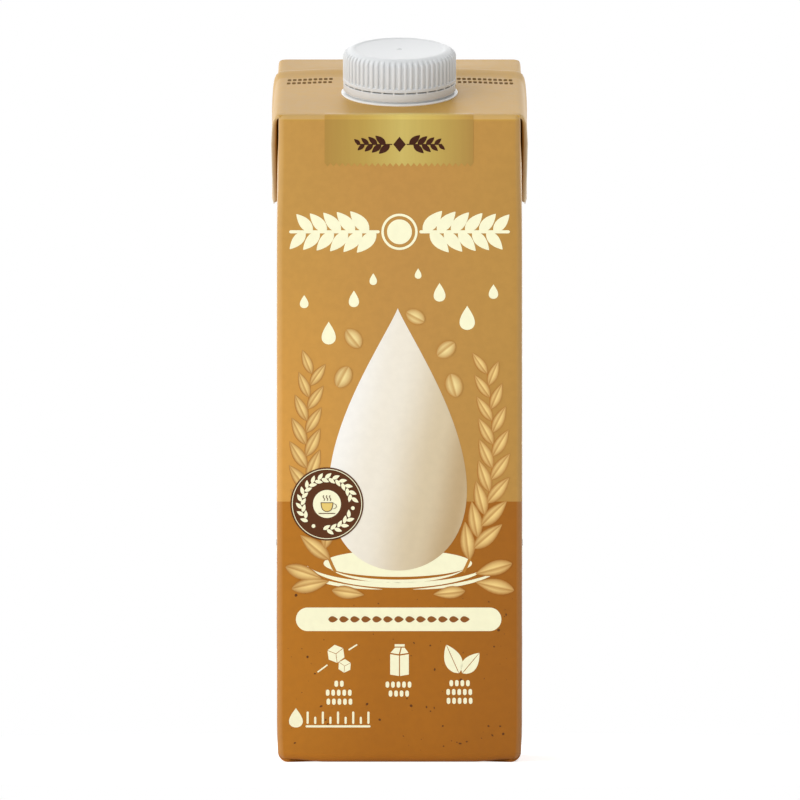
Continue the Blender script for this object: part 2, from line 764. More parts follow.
def ear_grids():
    """Outer and inner skin of the right ear and how worn its points are."""
    outer, inner, wear = [], [], []
    for row in range(EAR_ROWS):
        v = EAR_START + (EAR_STOP - EAR_START) * row / (EAR_ROWS - 1)
        bottom = ear_depth(v)
        line = cut_line(skin_line(v), max(bottom, LEAST_DEPTH))
        lengths = ear_lengths(line_length(line))
        skins = ([], [])
        for (point, out), (_, share) in zip(sample_line(line, [n for n, _ in lengths]), lengths):
            back = ear_back(point, out, bottom)
            x, depth = (point[0] + back[0]) / 2, (point[1] + back[1]) / 2
            for skin, end in zip(skins, (point, back)):
                skin.append(on_slope(x + (end[0] - x) * share, v, depth + (end[1] - depth) * share))
        outer.append(skins[0])
        inner.append(skins[1])
        rim = RIM_WEAR + RIM_WEAR_GROWTH * smooth(v, 3, 14)
        wear += [rim if n >= EAR_BEND + EAR_FLAT else 0.0 for n in range(len(lengths))]
    return outer, inner, wear


outer, inner, ear_wear = ear_grids()
ears = []
for name, side in (("carton_ear_right", 1), ("carton_ear_left", -1)):
    ear_points, ear_faces = sheet_between(*mirrored((outer, inner), side))
    ears.append(board_piece(name, ear_points, ear_faces, ear_wear * 2))
print("each ear:", len(ears[0].data.polygons), "faces")

# %% [markdown]
# ## Cross seal
# The top seam is the flattened strip where front and back panels are welded.  It lies behind
# the cap, folded to the back, and its ends run down the ears.  Its rear edge is a cut: the
# pale board shows and, being stiff, it springs up a little.  It follows the very same skin
# line as the ears, so it hugs the crown and the bends.

# %% Build the cross seal
SEAL_WIDTH, SEAL_RISE, SEAL_LIFT = 8.5, 0.5, 0.25
SEAL_BED, SEAL_SUNK = 0.09, 0.3
SEAL_STATIONS = (0, 0.08, 0.2, 0.4, 0.65, 0.9, 1.6, 2.5, 3.5, 4.5, 5.5, 6.5, 7.4, 8.1, 8.42, 8.5)
SEAL_STEPS = 150
CUT_START, CUT_WEAR, END_WEAR = 8.4, 0.9, 0.7


def seal_heights(t):
    """Top and underside of the strip over the skin, t mm behind its fold."""
    lift = SEAL_LIFT * smooth(t, 2.5, SEAL_WIDTH)
    top = SEAL_RISE * smooth(t, -0.8, 7.5) - SEAL_BED
    under = (SEAL_SUNK + 0.8 * lift) * smooth(t, 3.5, SEAL_WIDTH) - SEAL_SUNK
    return top + lift, under


def seal_grids():
    """Top and underside of the strip, from its fold back to its cut, and how worn it is."""
    outer, inner, wear = [], [], []
    for t in SEAL_STATIONS:
        v = SEAM_RUN + t
        half = skin_line(v, start=0.0)
        line = [(-x, w) for x, w in reversed(half[1:])] + half
        total = line_length(line)
        samples = sample_line(line, [total * n / SEAL_STEPS for n in range(SEAL_STEPS + 1)])
        for grid, height in zip((outer, inner), seal_heights(t)):
            grid.append([on_slope(p[0] + n[0] * height, v, p[1] + n[1] * height)
                         for p, n in samples])
        cut = 0.0 if t < CUT_START else CUT_WEAR
        wear += [max(cut, END_WEAR if n in (0, SEAL_STEPS) else 0.0)
                 for n in range(SEAL_STEPS + 1)]
    return outer, inner, wear


outer, inner, seal_wear = seal_grids()
seal = board_piece("carton_seal", *sheet_between(outer, inner), seal_wear * 2)
print("seal:", len(seal.data.polygons), "faces")

# %% [markdown]
# ## Base ears and back overlap
# Under the base the same ears are folded flat towards the middle, so the pack stands on two
# triangles of double board; between them the front and back of the base sag almost to the
# floor.  Down the back runs the long seam, where one edge of the sheet laps the other.  An
# ear is drawn as a sheet that starts a little way up the side wall, turns under the heel and
# runs in to its point.

# %% Build the base ears
BASE_EAR_ROWS, BASE_EAR_STEPS = 32, 24
BASE_EAR_UP, BASE_EAR_TURN = 4.2, 3.0
BASE_EAR_BOARD, BASE_EAR_END = 0.9, 2.4
UPRIGHT = BASE_EAR_UP - BASE_EAR_TURN
TURN_LENGTH = BASE_EAR_TURN * math.pi / 2


def base_ear_place(s):
    """Place (x, z) and outward direction at a length s down the wall and in under the base."""
    edge = WIDTH / 2 + 0.02
    if s < UPRIGHT:
        return edge, BASE_EAR_UP - s, (1, 0)
    if s < UPRIGHT + TURN_LENGTH:
        angle = (s - UPRIGHT) / BASE_EAR_TURN
        out = (math.cos(angle), -math.sin(angle))
        return edge - BASE_EAR_TURN * (1 - out[0]), BASE_EAR_TURN * (1 + out[1]), out
    return max(WIDTH / 2 - BASE_EAR_TURN - (s - UPRIGHT - TURN_LENGTH), 0.5), 0.0, (0, -1)


def base_ear_grids(side):
    """Outer and inner skin of a base ear, row by row from front to back."""
    grids = ([], [])
    half = DEPTH / 2 - BASE_EAR_END
    for row in range(BASE_EAR_ROWS + 1):
        y = -half + 2 * half * row / BASE_EAR_ROWS
        length = (DEPTH / 2 - abs(y)) * (WIDTH / DEPTH) + 3.9
        places = [base_ear_place(length * n / BASE_EAR_STEPS) for n in range(BASE_EAR_STEPS + 1)]
        for grid, inward in zip(grids, (0.0, BASE_EAR_BOARD)):
            grid.append([pinch(Vector((x - out[0] * inward, y, z - out[1] * inward)))
                         for x, z, out in places])
    return mirrored(grids, side)


base_ears = [board_piece(name, *sheet_between(*base_ear_grids(side)))
             for name, side in (("carton_base_ear_right", 1), ("carton_base_ear_left", -1))]

# %% Back overlap
LAP_START, LAP_WIDTH, LAP_STEP = 12.0, 8.0, 0.2
LAP_FOOT, LAP_HEAD, LAP_SUNK = 3.6, 203.0, 0.3
LAP_ROWS, LAP_COLUMNS = 40, 12


def overlap_grids():
    """The lapped strip down the back panel: outer and inner skin."""
    outer, inner = [], []
    heights = [LAP_FOOT + (LAP_HEAD - LAP_FOOT) * n / LAP_ROWS for n in range(LAP_ROWS + 1)]
    for column in range(LAP_COLUMNS + 1):
        x = LAP_START + LAP_WIDTH * column / LAP_COLUMNS
        rise = LAP_STEP if column else 0.0
        outer.append([Vector((x, DEPTH / 2 + swell(x, DEPTH / 2, z, "back") + rise, z))
                      for z in heights])
        inner.append([p - Vector((0, rise + LAP_SUNK, 0)) for p in outer[-1]])
    return outer, inner


overlap = board_piece("carton_overlap", *sheet_between(*overlap_grids()))
print("base ears and overlap made")

# %% [markdown]
# ## Geometry Nodes helpers
# Ribs, bridges, grains, dashes and crumbs all repeat by a rule.  They could be array
# modifiers, but a node tree can also lean every other copy or let sizes change along the row.
# Each tree is made by a small function, gets its sizes through named inputs, and ends in
# Realize Instances and Set Material.  The evaluated result is then copied into a plain mesh.

# %% Node tree helpers
def start_tree(name, **inputs):
    """An empty geometry tree that takes a Part and a Material; inputs are further defaults."""
    tree = bpy.data.node_groups.new(name, "GeometryNodeTree")
    kinds = {int: "Int", float: "Float"}
    sockets = [("Geometry", "Geometry", None), ("Part", "Object", None),
               ("Material", "Material", None)]
    sockets += [(label.replace("_", " ").title(), kinds[type(default)], default)
                for label, default in inputs.items()]
    for label, kind, default in sockets:
        socket = tree.interface.new_socket(label, in_out="INPUT",
                                           socket_type="NodeSocket" + kind)
        if default is not None:
            socket.default_value = default
    tree.interface.new_socket("Geometry", in_out="OUTPUT", socket_type="NodeSocketGeometry")
    return tree, tree.nodes.new("NodeGroupInput").outputs


def end_tree(tree, given, geometry):
    """Realize, set the material and hand the geometry out."""
    real = add_node(tree, "GeometryNodeRealizeInstances", geometry=geometry)
    paint = add_node(tree, "GeometryNodeSetMaterial", geometry=real.outputs[0],
                     material=given["Material"])
    add_node(tree, "NodeGroupOutput", geometry=paint.outputs[0])
    return tree


def vector_of(tree, **parts):
    """A vector from values for x, y and z."""
    return add_node(tree, "ShaderNodeCombineXYZ", **parts).outputs[0]


def copies(tree, given, dots, turn, **more):
    """Copies of the tree's Part on points, turned and perhaps scaled."""
    part = add_node(tree, "GeometryNodeObjectInfo", object=given["Part"])
    return add_node(tree, "GeometryNodeInstanceOnPoints", points=dots,
                    instance=part.outputs["Geometry"], rotation=turn, **more).outputs[0]


def join(tree, *parts):
    """Several geometries as one."""
    node = tree.nodes.new("GeometryNodeJoinGeometry")
    for part in parts:
        feed(tree, node.inputs[0], part)
    return node.outputs[0]


def grow(name, source, tree, **settings):
    """Run a tree on a mesh with these settings and return the result as a new mesh."""
    host = add_object(name, source)
    modifier = host.modifiers.new("grow", "NODES")
    modifier.node_group = tree
    known = {s.name: s.identifier for s in tree.interface.items_tree if s.in_out == "INPUT"}
    for label, value in settings.items():
        modifier[known[label.replace("_", " ").title()]] = value
    bpy.context.view_layer.update()
    seen = host.evaluated_get(bpy.context.evaluated_depsgraph_get())
    mesh = bpy.data.meshes.new_from_object(seen)
    host.modifiers.remove(modifier)
    bpy.data.objects.remove(host)
    mesh.name = name
    return mesh


patterns = []


def hidden_part(name, points, faces, marks=None):
    """A small mesh in millimetres that a tree copies; it is removed at the end."""
    part = add_object(name, plain_mesh(name, points, faces, marks))
    part.hide_render = True
    patterns.append(part)
    return part


# %% [markdown]
# ## Spout and screw cap
# Both are turned shapes moulded in white plastic: the spout's flange is welded to the board,
# and the cap stands on a dark undercut above it.  The cap's lower band tears off at thirty
# small bridges when it is first opened.  A turned outline is spun round the axis for the
# plain parts; the sixty ribs and the thirty bridges are copies set round that axis by one
# Geometry Nodes tree.  Upright in its own frame here, the pair is tipped forward at the end
# to stand square on the sloped top.

# %% Plastic
FLOW_SCALE, GRAIN_SCALE = 160.0, 900.0


def plastic_material(name, colour, rough):
    """Moulded plastic with faint flow marks and a fine grain."""
    material, tree, shader, place = start_material(name)
    flow = noise(tree, place, FLOW_SCALE)
    tone = add_node(tree, "ShaderNodeHueSaturation", color=colour,
                    value=vary(tree, flow, 0.985, 1.01))
    fill(tree, shader, base_color=tone.outputs[0],
         roughness=gloss(tree, flow, rough - 0.03, rough + 0.03))
    roughen(tree, shader, noise(tree, place, GRAIN_SCALE), 0.08, 0.03)
    return material


plastic = plastic_material("white_plastic", srgb(223, 225, 226), 0.38)
flange_plastic = plastic_material("flange_plastic", srgb(240, 241, 240), 0.34)

# %% Turned shapes
TURN_STEPS = 240


def on_circle(cx, cy, radius, degrees, squash=1.0):
    """The point of a circle, or of an ellipse, at an angle."""
    turn = math.radians(degrees)
    return cx + radius * math.cos(turn), cy + radius * squash * math.sin(turn)


def arc(cx, cy, radius, start, stop, steps, squash=1.0):
    """Points of an arc between two angles in degrees."""
    return [on_circle(cx, cy, radius, start + (stop - start) * n / steps, squash)
            for n in range(steps + 1)]


def spin(outline):
    """A closed turned solid from (radius, height) points that run from top axis to low axis."""
    rows, steps = outline[1:-1], TURN_STEPS
    points = [(0, 0, outline[0][1])]
    points += [(*on_circle(0, 0, radius, 360 * n / steps), z)
               for radius, z in rows for n in range(steps)]
    points.append((0, 0, outline[-1][1]))
    last = 1 + (len(rows) - 1) * steps
    faces = [(0, 1 + (n + 1) % steps, 1 + n) for n in range(steps)]
    faces += strip_faces(len(rows), steps, closed=True, start=1)
    faces += [(last + n, last + (n + 1) % steps, len(points) - 1) for n in range(steps)]
    return points, faces


# %% Outlines of cap and flange
CAP_RADIUS, CAP_TOP, SHOULDER = 16.5, 13.35, 2.3
RIB_ROOT, RIB_HEIGHT, RIB_WIDTH, RIB_FOOT = 15.86, 0.64, 0.96, 4.8
DISH_RADIUS, DISH_DEPTH = 12.7, 0.25
BAND_RADIUS, BAND_FOOT, NECK_RADIUS = 16.4, 1.05, 14.9
GAP_LOW, GAP_HIGH, BRIDGE_HALF = 3.36, 3.78, 0.25
FLANGE_RADIUS, FLANGE_TOP = 17.0, 0.5
CHAMFER = 0.12

moulding_mark = [(0, CAP_TOP - 0.45), (0.35, CAP_TOP - 0.45), (0.68, CAP_TOP - 0.42),
                 (0.74, CAP_TOP - 0.26)]
dished_top = [(DISH_RADIUS, CAP_TOP - DISH_DEPTH), (DISH_RADIUS + 0.25, CAP_TOP - 0.2),
              (DISH_RADIUS + 0.45, CAP_TOP - 0.04)]
ribbed_wall = arc(RIB_ROOT - SHOULDER, CAP_TOP - SHOULDER, SHOULDER, 90, 0, 12)
ribbed_wall += [(RIB_ROOT, 8.8), (RIB_ROOT, 6.6), (RIB_ROOT, RIB_FOOT + 0.15)]
lower_rim = [(CAP_RADIUS - CHAMFER, RIB_FOOT), (CAP_RADIUS, RIB_FOOT - CHAMFER),
             (CAP_RADIUS, GAP_HIGH + CHAMFER), (CAP_RADIUS - CHAMFER, GAP_HIGH)]
tear_gap = [(NECK_RADIUS, GAP_HIGH), (NECK_RADIUS, GAP_LOW)]
tamper_band = [(BAND_RADIUS - CHAMFER, GAP_LOW), (BAND_RADIUS, GAP_LOW - CHAMFER),
               (BAND_RADIUS, 2.2), (BAND_RADIUS - 0.04, 1.22), (BAND_RADIUS - 0.16, BAND_FOOT),
               (NECK_RADIUS - 0.1, BAND_FOOT), (NECK_RADIUS - 0.1, 3.6), (0, 3.6)]
cap_outline = (moulding_mark + dished_top + ribbed_wall + lower_rim + tear_gap + tamper_band)
spout_outline = [(0, 3.7), (14.4, 3.7), (14.4, 1.1), (15.15, 1.08), (15.2, 0.98),
                 (15.2, FLANGE_TOP), (FLANGE_RADIUS - 0.3, 0.46), (FLANGE_RADIUS - 0.1, 0.4),
                 (FLANGE_RADIUS, 0.28), (FLANGE_RADIUS, 0.1), (FLANGE_RADIUS - 0.05, -0.1),
                 (0, -0.1)]


# %% Ribs and bridges
def rib_line():
    """The line a rib follows up the side and over the shoulder, with its fading height."""
    line = [(RIB_ROOT, z, RIB_HEIGHT, 0) for z in (RIB_FOOT, 5.5, 6.5, 7.7, 8.9, 9.9)]
    for step in range(11):
        angle = 66 * step / 10
        line.append((*on_circle(RIB_ROOT - SHOULDER, CAP_TOP - SHOULDER, SHOULDER, angle),
                     RIB_HEIGHT * (1 - smooth(angle, 6, 60)) - 0.01, angle))
    return line


def rib_grids():
    """A rounded ridge on the cap's wall, at angle zero."""
    outer, inner = [], []
    for radius, z, height, angle in rib_line():
        across, up = on_circle(0, 0, 1, angle)
        turns = [math.pi * step / 8 for step in range(9)]
        ridge = [(-RIB_WIDTH / 2 * math.cos(t), height * math.sin(t) ** 0.5) for t in turns]
        outer.append([(radius + across * rise, y, z + up * rise) for y, rise in ridge])
        inner.append([(radius - across * 0.2, y, z - up * 0.2) for y, _ in ridge])
    return outer, inner


def bridge_grids():
    """A small block across the tear gap, at angle zero."""
    return [[[(radius, y, z) for y in (-BRIDGE_HALF, BRIDGE_HALF)]
             for z in (GAP_LOW - 0.1, GAP_HIGH + 0.1)]
            for radius in (BAND_RADIUS - 0.1, NECK_RADIUS - 0.2)]


def ring_tree():
    """Copies of one part round the upright axis, joined to the turned body."""
    tree, given = start_tree("round_the_axis", count=60)
    dots = add_node(tree, "GeometryNodePoints", count=given["Count"])
    step = calculate(tree, "DIVIDE", 2 * math.pi, given["Count"])
    turn = multiply(tree, tree.nodes.new("GeometryNodeInputIndex").outputs[0], step)
    ring = copies(tree, given, dots.outputs[0], vector_of(tree, z=turn))
    return end_tree(tree, given, join(tree, ring, given["Geometry"]))


rib = hidden_part("rib", *sheet_between(*rib_grids()))
bridge = hidden_part("bridge", *sheet_between(*bridge_grids()))
round_the_axis = ring_tree()
turned_cap = plain_mesh("turned_cap", *spin(cap_outline))
ribbed = grow("ribbed", turned_cap, round_the_axis, part=rib, count=60, material=plastic)
bridged = grow("cap", ribbed, round_the_axis, part=bridge, count=30, material=plastic)
print("cap:", len(bridged.polygons), "faces")

# %% Stand cap and spout on the top
SEAT_TURN = SLOPE + SEAT_LEAN
SEAT = on_slope(0, SEAT_RUN, -SEAT_RISE)


def place_turned(name, mesh, material):
    """Tip a mesh drawn upright in millimetres onto the seat and make it a piece in metres."""
    mesh.transform(Matrix.Scale(MM, 4) @ Matrix.Translation(SEAT)
                   @ Matrix.Rotation(SEAT_TURN, 4, "X"))
    return make_piece(name, mesh, material, PLASTIC_EDGE)


cap = place_turned("cap_body", bridged, plastic)
spout = place_turned("spout_flange", plain_mesh("spout", *spin(spout_outline)), flange_plastic)
print("seat at", [round(c, 2) for c in SEAT], "tipped", round(math.degrees(SEAT_TURN), 2), "deg")

# %% [markdown]
# ## Print as thin inlays
# Ink has no thickness one can see, and the big areas are already in the board's material.
# The fine print could be painted into that material too, but edges of a few tenths of a
# millimetre would need very large textures once the object leaves this scene.  So each
# printed figure is a closed sliver of its own, sunk into the board and four hundredths of a
# millimetre proud of it.  It is drawn flat and then laid on the panel by one function, which
# also knows the way over the front crease.  Where figures overlap, each lies a little higher
# than the one that it covers.

# %% Where a drawing lands on the pack
FOLD_START = FRONT_HEIGHT - FOLD_RUN
FOLD_ARC = FOLD * FRONT_TURN


def on_panel(panel, a, b, lift):
    """A place on a panel: a to the right and b up as one looks at it, lift off the board."""
    if panel == "back":
        lap = LAP_STEP if LAP_START - 0.1 <= -a <= LAP_START + LAP_WIDTH + 1.1 else 0.0
        return Vector((-a, DEPTH / 2 + swell(a, 0, b, "back") + lap + lift, b))
    if panel in ("left", "right"):
        side = 1 if panel == "right" else -1
        out = WIDTH / 2 + swell(0, a * side, b, "right") + lift
        return pinch(Vector((side * out, a * side, b)))
    if b <= FOLD_START:
        return Vector((a, FRONT_Y - swell(a, 0, b, "front") - lift, b))
    v = FOLD_RUN + b - FOLD_START - FOLD_ARC
    if v > FOLD_RUN:
        return on_slope(a, v, -crown(a, v) - lift)
    turn = min((b - FOLD_START) / FOLD, FRONT_TURN)
    out = Vector((0, -math.cos(turn), math.sin(turn)))
    return Vector((a, FRONT_Y + FOLD, FOLD_START)) + out * (FOLD + lift)


def top_row(v):
    """Height of a drawing that is to land v up the slope."""
    return v - FOLD_RUN + FOLD_START + FOLD_ARC


# %% Lay a drawing
PRINT_LIFT, PRINT_SUNK = 0.04, 0.25
prints = []


def lay(name, mesh, panel, ink, lift=0.0):
    """Lay a flat drawing in millimetres on a panel and note it as a printed piece."""
    for vertex in mesh.vertices:
        a, out, b = vertex.co.x, -vertex.co.y, vertex.co.z
        vertex.co = on_panel(panel, a, b, out + lift if out > 0 else out) * MM
    prints.append(make_piece(name, mesh, ink, PRINT_EDGE))


def cut_into_cells(work, cell):
    """Cut flat outlines along a grid, so that they can follow a panel that swells."""
    for axis, normal in ((0, Vector((1, 0, 0))), (2, Vector((0, 0, 1)))):
        places = [v.co[axis] for v in work.verts]
        line = math.ceil(min(places) / cell) * cell
        while line < max(places):
            bmesh.ops.bisect_plane(work, geom=work.verts[:] + work.edges[:] + work.faces[:],
                                   plane_co=normal * line, plane_no=normal)
            line += cell


def inlay(name, outlines, panel, ink, lift=PRINT_LIFT, cell=4.0):
    """Closed slivers from flat outlines, laid on a panel."""
    work = bmesh.new()
    for outline in outlines:
        work.faces.new([work.verts.new((a, 0, b)) for a, b in outline])
    bmesh.ops.remove_doubles(work, verts=work.verts, dist=1e-4)
    cut_into_cells(work, cell)
    bmesh.ops.triangulate(work, faces=work.faces[:])
    work.verts.index_update()
    count = len(work.verts)
    points = [(v.co.x, depth, v.co.z) for depth in (-lift, PRINT_SUNK) for v in work.verts]
    faces = []
    for face in work.faces:
        ids = [v.index for v in face.verts]
        faces += [tuple(ids), tuple(n + count for n in reversed(ids))]
        for loop in face.loops:
            if loop.edge.is_boundary:
                a, b = loop.vert.index, loop.link_loop_next.vert.index
                faces.append((b, a, a + count, b + count))
    work.free()
    lay(name, plain_mesh(name, points, faces), panel, ink)


# %% [markdown]
# ## Inks
# Each ink is a flat print colour with a faint mottle, the same satin varnish as the board,
# and where a figure is shaded, a second colour that follows the "shade" value of its points.
# An ink also says which finish slot its pieces belong to.


def ink_material(name, rim, core=None, rough=0.45):
    """A printed colour; with a core it runs from the rim colour to that one."""
    material, tree, shader, place = start_material(name)
    mottle = noise(tree, place, MOTTLE_SCALE, 3.0)
    colour = rim
    if core:
        shade = add_node(tree, "ShaderNodeAttribute", attribute_name="shade")
        colour = blend_colours(tree, shade.outputs["Fac"], rim, core)
    tone = add_node(tree, "ShaderNodeHueSaturation", color=colour,
                    value=vary(tree, mottle, 0.98, 1.01))
    fill(tree, shader, base_color=tone.outputs[0], specular_ior_level=SHEEN,
         roughness=gloss(tree, mottle, rough - 0.04, rough + 0.04))
    return material


cream = ink_material("cream_ink", srgb(255, 252, 214))
amber = ink_material("amber_ink", srgb(238, 208, 118))
brown, bar_brown, black_brown, dark_brown = (
    ink_material(name + "_ink", srgb(*colour))
    for name, colour in (("brown", (94, 51, 21)), ("bar_brown", (148, 90, 34)),
                         ("speck", (104, 60, 16)), ("dark_brown", (70, 32, 14))))
dull_brown = ink_material("dull_brown_ink", srgb(124, 92, 44), rough=0.9)
grain_ink, pale_grain, flake_ink = (
    ink_material(name + "_ink", srgb(*rim), srgb(*core))
    for name, rim, core in (("grain", (188, 128, 48), (236, 198, 118)),
                            ("pale_grain", (172, 108, 32), (252, 218, 140)),
                            ("flake", (186, 128, 50), (250, 226, 156))))


def run_of_colours(tree, value, start, stop, stops):
    """A colour ramp along a value, from (share, 0-255 swatch) stops."""
    ramp = add_node(tree, "ShaderNodeValToRGB")
    feed(tree, ramp.inputs[0], fade(tree, value, start, stop, kind="LINEAR"))
    elements = ramp.color_ramp.elements
    elements.remove(elements[1])
    for number, (at, colour) in enumerate(stops):
        stop = elements.new(at) if number else elements[0]
        stop.position = at
        stop.color = srgb(*colour)
    fill(tree, tree.nodes["Hue/Saturation/Value"], color=ramp.outputs[0])
    return ramp.color_ramp


# %% Outline helpers
def disc(cx, cy, radius, steps=64, squash=1.0):
    """A full circle or ellipse."""
    return arc(cx, cy, radius, 0, 360, steps, squash)[:-1]


def capsule(left, right, low, high, steps=12):
    """A bar with rounded ends."""
    radius = (high - low) / 2
    return (arc(right - radius, low + radius, radius, -90, 90, steps)
            + arc(left + radius, low + radius, radius, 90, 270, steps))


def soft_box(left, right, low, high, radius):
    """A box with rounded corners."""
    left, right, low, high = left + radius, right - radius, low + radius, high - radius
    corners = ((right, low, -90), (right, high, 0), (left, high, 90), (left, low, 180))
    return [p for x, y, turn in corners for p in arc(x, y, radius, turn, turn + 90, 5)]


def bar(start, stop, width):
    """A straight bar with rounded ends between two points."""
    turn = math.degrees(math.atan2(stop[1] - start[1], stop[0] - start[0]))
    return (arc(*stop, width / 2, turn - 90, turn + 90, 6)
            + arc(*start, width / 2, turn + 90, turn + 270, 6))


def ring_parts(cx, cy, radius, width, parts=48):
    """A thin ring as closed wedges."""
    outer, inner = (arc(cx, cy, radius + w, 0, 360, parts) for w in (width / 2, -width / 2))
    return [[outer[n], outer[n + 1], inner[n + 1], inner[n]] for n in range(parts)]


def leaf_half_width(t, width):
    """Half the width of a pointed grain at share t of its length."""
    return 0.03 + width / 2 * max(math.sin(math.pi * t ** 0.8), 0.0) ** 0.85


def flake_half_width(t, width):
    """The same for a round flake."""
    return 0.03 + width * math.sqrt(max(t - t * t, 0.0))


# %% [markdown]
# ## A row that follows a path
# Grains on a stem, leaves in a wreath and dashes in a line are one idea: copies set at even
# steps along a path, each leaning a little off its direction, every other one to the other
# side.  One tree does all of them.

# %% The row tree
def row_tree():
    """Copies of a part along the source's line, with lean and changing size."""
    tree, given = start_tree("along_a_path", count=10, lean=0.6, first_size=1.0, last_size=1.0)
    curve = add_node(tree, "GeometryNodeMeshToCurve", mesh=given["Geometry"])
    steps = add_node(tree, "GeometryNodeResampleCurve", curve=curve.outputs[0],
                     count=given["Count"])
    ahead, _, up = split(tree, tree.nodes.new("GeometryNodeInputTangent").outputs[0])
    heading = calculate(tree, "ARCTAN2", up, ahead)
    index = tree.nodes.new("GeometryNodeInputIndex").outputs[0]
    other = calculate(tree, "SUBTRACT", 1.0,
                      multiply(tree, 2.0, calculate(tree, "MODULO", index, 2.0)))
    lean = calculate(tree, "ADD", heading, multiply(tree, other, given["Lean"]))
    share = calculate(tree, "DIVIDE", index, calculate(tree, "SUBTRACT", given["Count"], 1.0))
    size = fade(tree, share, 0.0, 1.0, given["First Size"], given["Last Size"], kind="LINEAR")
    grains = copies(tree, given, steps.outputs[0], vector_of(tree, y=multiply(tree, lean, -1.0)),
                    scale=vector_of(tree, x=size, y=1.0, z=size))
    return end_tree(tree, given, grains)


along_a_path = row_tree()


def row(name, path, part, count, panel, ink, lean=0.0, sizes=(1.0, 1.0), lift=0.0):
    """Copies of a part along a flat path, laid on a panel."""
    steps = [(n, n + 1) for n in range(len(path) - 1)]
    line = bpy.data.meshes.new(name + "_path")
    line.from_pydata([(a, 0, b) for a, b in path], steps, [])
    first, last = sizes
    mesh = grow(name, line, along_a_path, part=part, count=count, lean=lean, first_size=first,
                last_size=last, material=ink)
    lay(name, mesh, panel, ink, lift)


# %% Parts for rows
GRAIN_LIFT, GRAIN_STEPS = 0.05, 12
CREASE = ((-1, 0.1), (-0.6, 0.6), (-0.12, 1.0), (0.1, 0.3), (0.5, 0.75), (1, 0.0))


def grain_part(name, length, width, half_width=leaf_half_width):
    """A grain with a shaded crease along it, drawn along +X from the origin.

    Each line of points from tip to tip has its share of the width and how light it is."""
    stations = [(1 - math.cos(math.pi * n / GRAIN_STEPS)) / 2 for n in range(GRAIN_STEPS + 1)]
    outer, inner, shade = [], [], []
    for share, light in CREASE:
        line = [(length * t, share * half_width(t, width)) for t in stations]
        outer.append([(x, -GRAIN_LIFT - 0.02 * light, w) for x, w in line])
        inner.append([(x, PRINT_SUNK, w) for x, w in line])
        shade += [light * math.sin(math.pi * (0.1 + 0.8 * t)) for t in stations]
    return hidden_part(name, *sheet_between(outer, inner), {"shade": shade * 2})


def flat_part(name, outline, lift=GRAIN_LIFT):
    """A closed sliver of any outline."""
    count = len(outline)
    points = [(a, depth, b) for depth in (-lift, PRINT_SUNK) for a, b in outline]
    faces = [tuple(range(count)), tuple(reversed(range(count, 2 * count)))]
    faces += [((n + 1) % count, n, n + count, (n + 1) % count + count) for n in range(count)]
    return hidden_part(name, points, faces)


big_grain = grain_part("big_grain", 8.6, 3.9)
stem_grain = grain_part("stem_grain", 11.0, 4.3)
small_leaf = grain_part("small_leaf", 2.3, 1.05)
oat_flake = grain_part("oat_flake", 6.4, 4.7, flake_half_width)
pill_leaf = grain_part("pill_leaf", 2.7, 1.75)
letter_dash = flat_part("letter_dash", bar((0, -0.38), (0, 0.38), 1.05))
print("row tree and", len(patterns), "parts ready")

# %% [markdown]
# ## Gold label
# A gold field hangs over the front crease like a label, its lower edge cut in small teeth.
# It is printed with a soft sheen: light in the middle, deeper to both sides, with fine upright
# strokes.  A grid in a node tree makes the sheet: the tree pulls every other point of the
# lowest row down for the teeth and thickens the sheet.  It is then laid over the crease.

# %% Label tree
LABEL_LEFT, LABEL_RIGHT, LABEL_FOOT = -21.7, 21.4, 173.55
LABEL_TOP = top_row(2.6)
LABEL_LIFT = 0.07
TEETH, TOOTH = 25, 1.05


def label_tree():
    """A thin upright sheet with a toothed lower edge."""
    tree, given = start_tree("toothed_label", width=43.1, height=10.0, teeth=25, tooth=0.7)
    cells = multiply(tree, given["Teeth"], 2.0)
    columns = calculate(tree, "ADD", cells, 1.0)
    grid = add_node(tree, "GeometryNodeMeshGrid", size_x=given["Width"], size_y=given["Height"],
                    vertices_x=columns, vertices_y=48)
    x, y, _ = split(tree, tree.nodes.new("GeometryNodeInputPosition").outputs[0])
    foot = calculate(tree, "ADD", multiply(tree, given["Height"], -0.5), 0.01)
    lowest = calculate(tree, "LESS_THAN", y, foot)
    step = calculate(tree, "DIVIDE", given["Width"], cells)
    from_left = calculate(tree, "ADD", x, multiply(tree, given["Width"], 0.5))
    number = calculate(tree, "ROUND", calculate(tree, "DIVIDE", from_left, step))
    odd = calculate(tree, "MODULO", number, 2.0)
    pull = multiply(tree, lowest, odd, given["Tooth"], -1.0)
    teeth = add_node(tree, "GeometryNodeSetPosition", geometry=grid.outputs["Mesh"],
                     offset=vector_of(tree, y=pull))
    stand = add_node(tree, "GeometryNodeTransform", geometry=teeth.outputs[0],
                     rotation=(math.pi / 2, 0, 0)).outputs[0]
    thick = add_node(tree, "GeometryNodeExtrudeMesh", mesh=stand, individual=False,
                     offset_scale=0.3)
    back = tree.nodes.new("GeometryNodeFlipFaces")
    feed(tree, back.inputs[0], stand)
    return end_tree(tree, given, join(tree, thick.outputs["Mesh"], back.outputs[0]))


# %% Gold ink
GOLD_STOPS = ((0.0, (180, 140, 66)), (0.27, (191, 158, 76)), (0.52, (207, 184, 100)),
              (0.72, (197, 169, 86)), (1.0, (178, 139, 68)))
STROKE_SCALE = (900, 900, 40)
BEND_GLOW = 1.2


